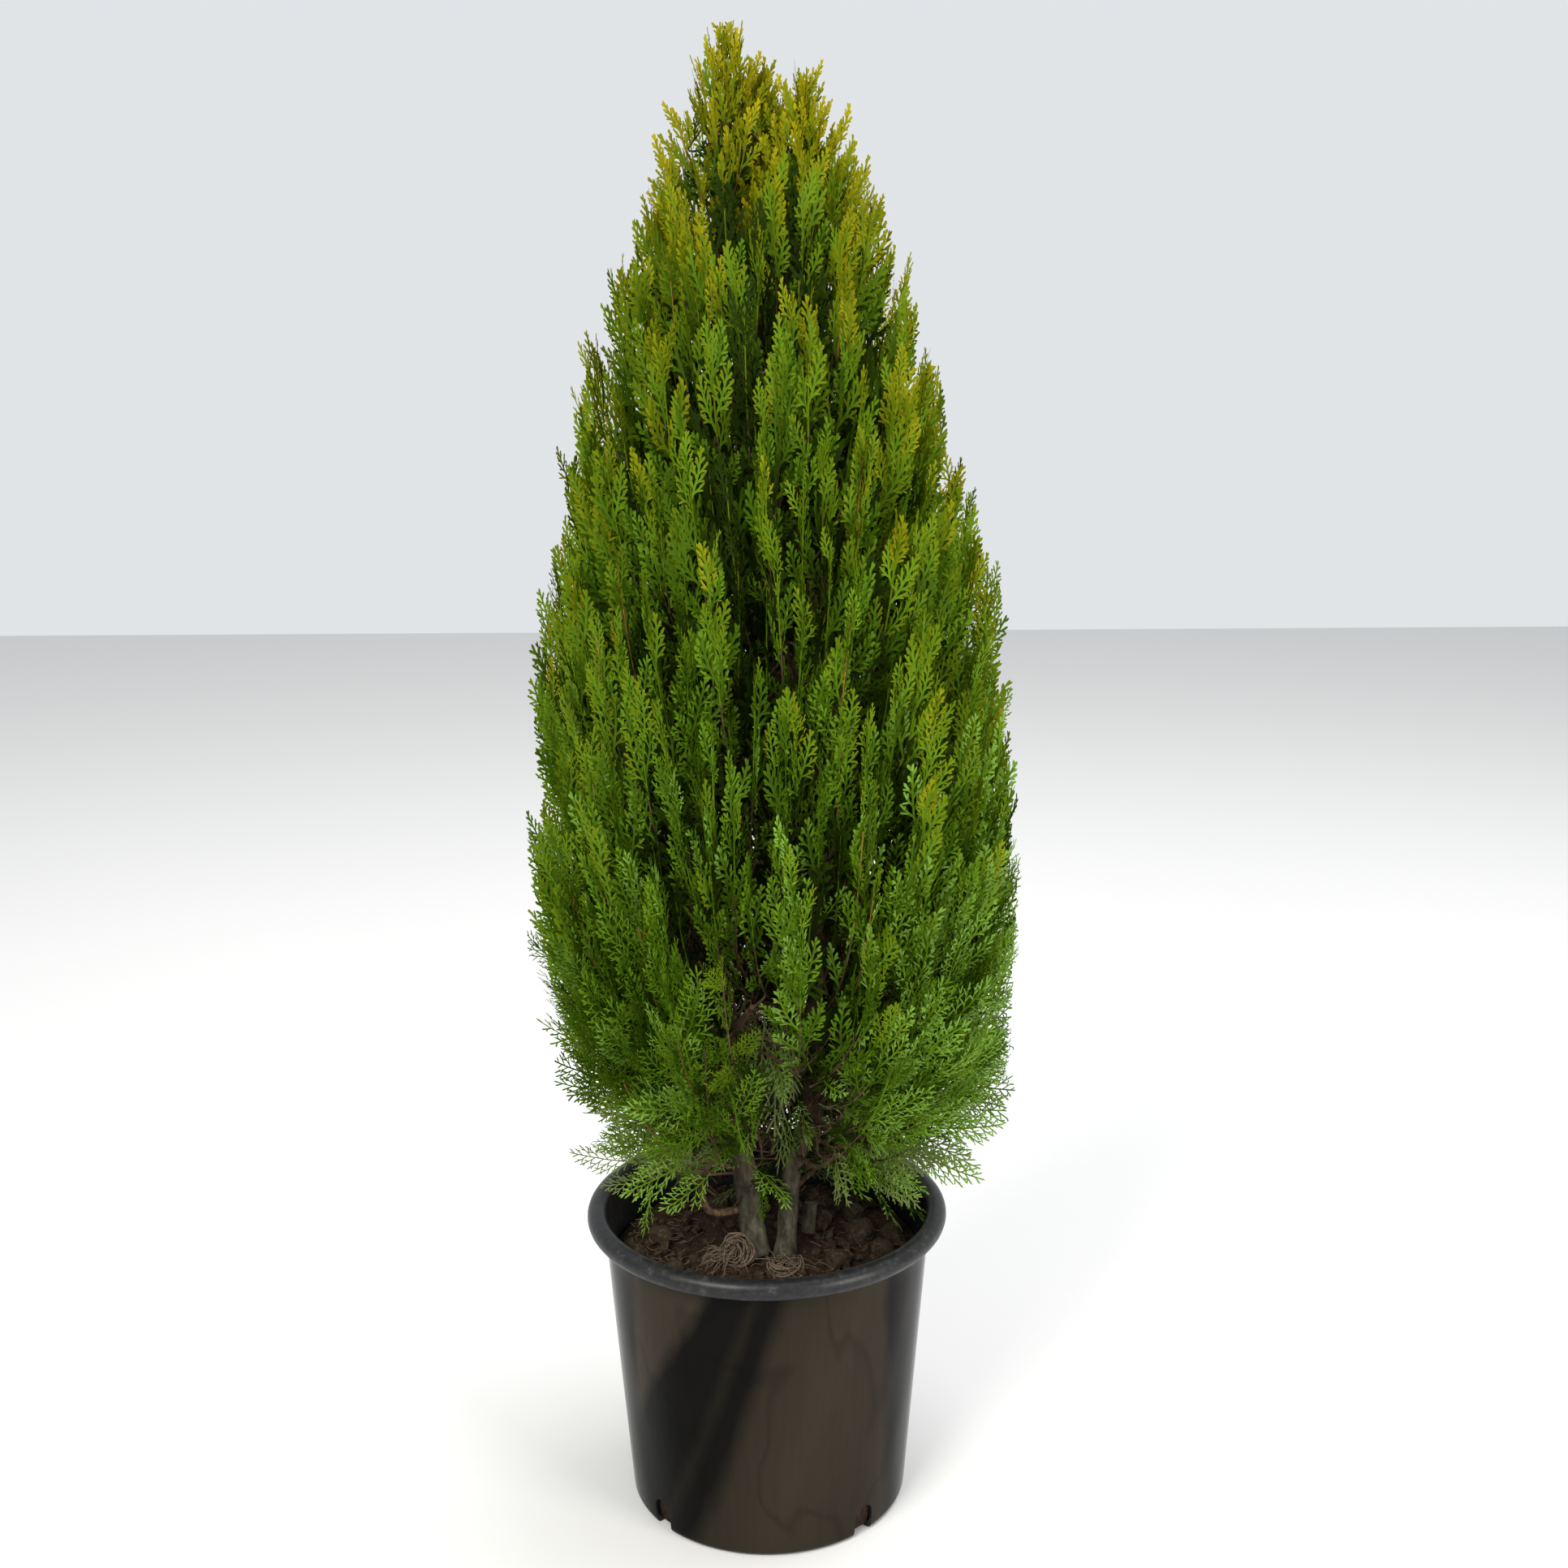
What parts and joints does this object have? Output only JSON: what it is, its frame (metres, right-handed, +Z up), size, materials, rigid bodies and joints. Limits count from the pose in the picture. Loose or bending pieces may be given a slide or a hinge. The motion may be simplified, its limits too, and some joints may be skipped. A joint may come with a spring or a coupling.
{
  "type": "potted thuja",
  "caption": "Dense, drop-shaped golden-green thuja with leaning stems and upright flat sprays, in a round black nursery pot with a rolled rim.",
  "frame": {"origin": "centre of the pot's flat underside", "axes": "+Z up; -Y towards the front, where the lowest foliage is open and the stems show; +X to the right seen from the front"},
  "size_m": [0.4985, 0.4918, 1.577],
  "materials": {
    "pot": "black, softly glossy, blow-moulded plastic",
    "soil": "dark brown, crumbly potting soil",
    "bark": "grey-brown, stringy bark",
    "twig": "orange-brown, thin bark",
    "root": "dry, tan, fibrous",
    "foliage_gold": "golden yellow-green scale leaves",
    "foliage_lime": "lime green scale leaves",
    "foliage_green": "mid green scale leaves",
    "foliage_shade": "dull green, open sprays"
  },
  "bodies": {
    "root": {"bough_lower_1": "twig", "bough_lower_2": "twig", "bough_lower_3": "twig", "bough_lower_4": "twig", "bough_lower_5": "twig", "bough_lower_6": "twig", "bough_lower_7": "twig", "bough_middle_1": "twig", "bough_middle_2": "twig", "bough_middle_3": "twig", "bough_middle_4": "twig", "bough_middle_5": "twig", "bough_skirt_1": "twig", "bough_skirt_2": "twig", "bough_skirt_3": "twig", "bough_skirt_4": "twig", "bough_skirt_5": "twig", "bough_skirt_6": "twig", "bough_skirt_7": "twig", "foliage_leader_left": "foliage_gold", "foliage_leader_middle": "foliage_gold", "foliage_leader_right": "foliage_gold", "foliage_lower_1": "foliage_green", "foliage_lower_2": "foliage_green", "foliage_lower_3": "foliage_green", "foliage_lower_4": "foliage_green", "foliage_lower_5": "foliage_green", "foliage_lower_6": "foliage_green", "foliage_lower_7": "foliage_green", "foliage_middle_1": "foliage_green", "foliage_middle_2": "foliage_green", "foliage_middle_3": "foliage_green", "foliage_middle_4": "foliage_green", "foliage_middle_5": "foliage_green", "foliage_skirt_1": "foliage_shade", "foliage_skirt_2": "foliage_shade", "foliage_skirt_3": "foliage_shade", "foliage_skirt_4": "foliage_shade", "foliage_skirt_5": "foliage_shade", "foliage_skirt_6": "foliage_shade", "foliage_skirt_7": "foliage_shade", "foliage_top_1": "foliage_gold", "foliage_top_2": "foliage_gold", "foliage_top_3": "foliage_gold", "foliage_upper_1": "foliage_lime", "foliage_upper_2": "foliage_lime", "foliage_upper_3": "foliage_lime", "foliage_upper_4": "foliage_lime", "foliage_upper_5": "foliage_lime", "pot": "pot", "root_coil_left": "root", "root_coil_right": "root", "soil": "soil", "stem_left": "bark", "stem_right": "bark", "stub_right": "bark"}
  },
  "joints": []
}
